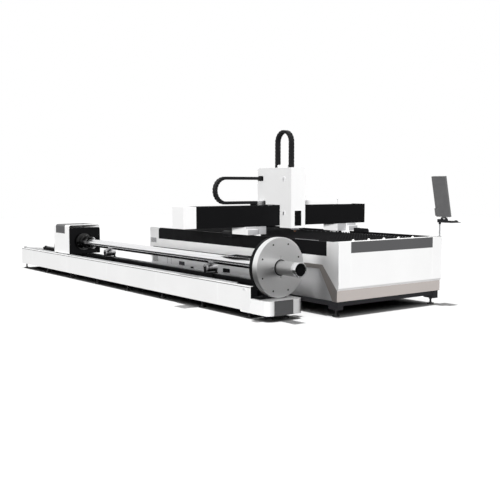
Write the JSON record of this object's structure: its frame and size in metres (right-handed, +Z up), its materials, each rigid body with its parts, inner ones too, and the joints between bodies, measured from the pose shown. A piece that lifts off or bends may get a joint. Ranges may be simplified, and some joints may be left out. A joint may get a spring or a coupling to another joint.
{
  "type": "fiber laser cutting machine",
  "caption": "Floor-standing sheet and tube laser cutter: flat slat bed with a travelling gantry and cutting head, beside a long tube bed with front and rear chucks and roller supports.",
  "frame": {"origin": "on the floor, under the middle of the machine's bounding box", "axes": "+X to the operator's console side, +Y along the beds away from the front panel, +Z up"},
  "size_m": [3.804, 9.56, 2.762],
  "materials": {
    "white_paint": "satin white powder coat",
    "black_paint": "satin black paint",
    "dark_paint": "dark gray paint",
    "gray_paint": "mid gray paint",
    "inset_paint": "light gray paint",
    "beige_paint": "warm gray paint",
    "plate_paint": "dark gray paint",
    "foot_steel": "blackened steel",
    "rail_steel": "ground steel",
    "slat_steel": "dark mill steel",
    "ball_plastic": "white nylon",
    "motor_plastic": "black motor case",
    "chuck_metal": "light gray enamel",
    "chuck_steel": "turned steel",
    "jaw_steel": "hardened steel",
    "tube_steel": "drawn steel",
    "roller_steel": "turned steel",
    "cast_aluminium": "machined aluminium",
    "nozzle_copper": "machined copper",
    "chain_plastic": "black nylon",
    "window_plastic": "black acrylic",
    "key_plastic": "black keys",
    "monitor_plastic": "dark gray plastic"
  },
  "bodies": {
    "base": {"bed_frame": "dark_paint", "bed_plinth": "dark_paint", "levelling_feet": "foot_steel", "front_panel": "white_paint", "front_strip": "gray_paint", "lower_trim": "beige_paint", "side_panels": "white_paint", "side_insets": "inset_paint", "rear_panel": "white_paint", "rail_guards": "black_paint", "bed_rails": "rail_steel", "slat_ledges": "dark_paint", "slats": "slat_steel", "ball_rollers": "ball_plastic", "console_post": "rail_steel", "tube_bed_frame": "black_paint", "tube_bed_panels": "white_paint", "end_box": "white_paint", "end_plate": "plate_paint", "tube_bed_rails": "rail_steel", "chuck_stand": "black_paint", "support_bases": "black_paint"},
    "gantry": {"gantry_carriages": "white_paint", "gantry_motors": "motor_plastic", "gantry_beam": "black_paint", "beam_cover": "black_paint", "beam_end_cap": "white_paint", "beam_rails": "rail_steel", "chain_tray": "white_paint", "chain_anchor": "inset_paint", "chain_lower_run": "chain_plastic"},
    "bend_lower": {"chain_bend_lower": "chain_plastic"},
    "bend_upper": {"chain_bend_upper": "chain_plastic"},
    "head": {"head_saddle": "cast_aluminium", "head_housing": "white_paint", "head_window": "window_plastic", "head_latches": "chuck_metal", "chain_bracket": "black_paint", "chain_upper_run": "chain_plastic", "lift_chain": "chain_plastic"},
    "lift": {"laser_head": "cast_aluminium", "nozzle": "nozzle_copper"},
    "front_spindle": {"chuck_disc": "chuck_metal", "guide_nose": "chuck_metal"},
    "rear_carriage": {"rear_carriage": "dark_paint", "rear_housing": "white_paint", "rear_face": "black_paint"},
    "rear_spindle": {"rear_chuck": "chuck_steel", "work_tube": "tube_steel"},
    "jaw_1": {"jaw_1": "jaw_steel"},
    "jaw_2": {"jaw_2": "jaw_steel"},
    "jaw_3": {"jaw_3": "jaw_steel"},
    "jaw_4": {"jaw_4": "jaw_steel"},
    "support_1": {"support_post_1": "black_paint"},
    "support_2": {"support_post_2": "black_paint"},
    "roller_1": {"support_roller_1": "roller_steel"},
    "roller_2": {"support_roller_2": "roller_steel"},
    "console": {"keyboard_tray": "dark_paint", "keyboard_set": "key_plastic"},
    "monitor": {"monitor": "monitor_plastic"}
  },
  "joints": [
    {"name": "gantry_travel", "type": "slide", "parent": "base", "child": "gantry", "axis": [0, 1, 0], "range_m": [-1.78, 2.3]},
    {"name": "head_traverse", "type": "slide", "parent": "gantry", "child": "head", "axis": [1, 0, 0], "range_m": [-1.43, 0.95], "deforming": ["chain_lower_run", "chain_upper_run"]},
    {"name": "bend_lower_slide", "type": "slide", "parent": "gantry", "child": "bend_lower", "axis": [1, 0, 0], "range_m": [-0.715, 0.475]},
    {"name": "bend_upper_slide", "type": "slide", "parent": "head", "child": "bend_upper", "axis": [1, 0, 0], "range_m": [-0.475, 0.715]},
    {"name": "head_lift", "type": "slide", "parent": "head", "child": "lift", "axis": [0, 0, 1], "range_m": [-0.025, 0.12], "deforming": ["lift_chain"]},
    {"name": "front_spindle_turn", "type": "hinge", "parent": "base", "child": "front_spindle", "pos_m": [-1.3405, -4.156, 0.725], "axis": [0, 1, 0], "continuous": true},
    {"name": "rear_chuck_travel", "type": "slide", "parent": "base", "child": "rear_carriage", "axis": [0, 1, 0], "range_m": [-0.5, 1.5]},
    {"name": "rear_spindle_turn", "type": "hinge", "parent": "rear_carriage", "child": "rear_spindle", "pos_m": [-1.3405, 2.26, 0.725], "axis": [0, 1, 0], "continuous": true},
    {"name": "jaw_1_slide", "type": "slide", "parent": "rear_spindle", "child": "jaw_1", "axis": [0, 0, 1], "range_m": [0, 0.04]},
    {"name": "jaw_2_slide", "type": "slide", "parent": "rear_spindle", "child": "jaw_2", "axis": [1, 0, 0], "range_m": [0, 0.04]},
    {"name": "jaw_3_slide", "type": "slide", "parent": "rear_spindle", "child": "jaw_3", "axis": [0, 0, -1], "range_m": [0, 0.04]},
    {"name": "jaw_4_slide", "type": "slide", "parent": "rear_spindle", "child": "jaw_4", "axis": [-1, 0, 0], "range_m": [0, 0.04]},
    {"name": "support_1_lift", "type": "slide", "parent": "base", "child": "support_1", "axis": [0, 0, 1], "range_m": [-0.1, 0]},
    {"name": "support_2_lift", "type": "slide", "parent": "base", "child": "support_2", "axis": [0, 0, 1], "range_m": [-0.1, 0]},
    {"name": "roller_1_turn", "type": "hinge", "parent": "support_1", "child": "roller_1", "pos_m": [-1.3405, -2.42, 0.5827], "axis": [1, 0, 0], "continuous": true},
    {"name": "roller_2_turn", "type": "hinge", "parent": "support_2", "child": "roller_2", "pos_m": [-1.3405, 1.03, 0.5827], "axis": [1, 0, 0], "continuous": true},
    {"name": "console_swivel", "type": "hinge", "parent": "base", "child": "console", "pos_m": [1.542, -4.532, 1.256], "axis": [0, 0, 1], "range_deg": [-90, 0]},
    {"name": "monitor_tilt", "type": "hinge", "parent": "console", "child": "monitor", "pos_m": [1.592, -4.572, 1.352], "axis": [0, 1, 0], "range_deg": [-8, 8]}
  ],
  "couplings": [
    {"joint": "bend_lower_slide", "follows": "head_traverse", "ratio": 0.5},
    {"joint": "bend_upper_slide", "follows": "head_traverse", "ratio": -0.5},
    {"joint": "rear_spindle_turn", "follows": "front_spindle_turn", "ratio": 1},
    {"joint": "jaw_2_slide", "follows": "jaw_1_slide", "ratio": 1},
    {"joint": "jaw_3_slide", "follows": "jaw_1_slide", "ratio": 1},
    {"joint": "jaw_4_slide", "follows": "jaw_1_slide", "ratio": 1}
  ]
}
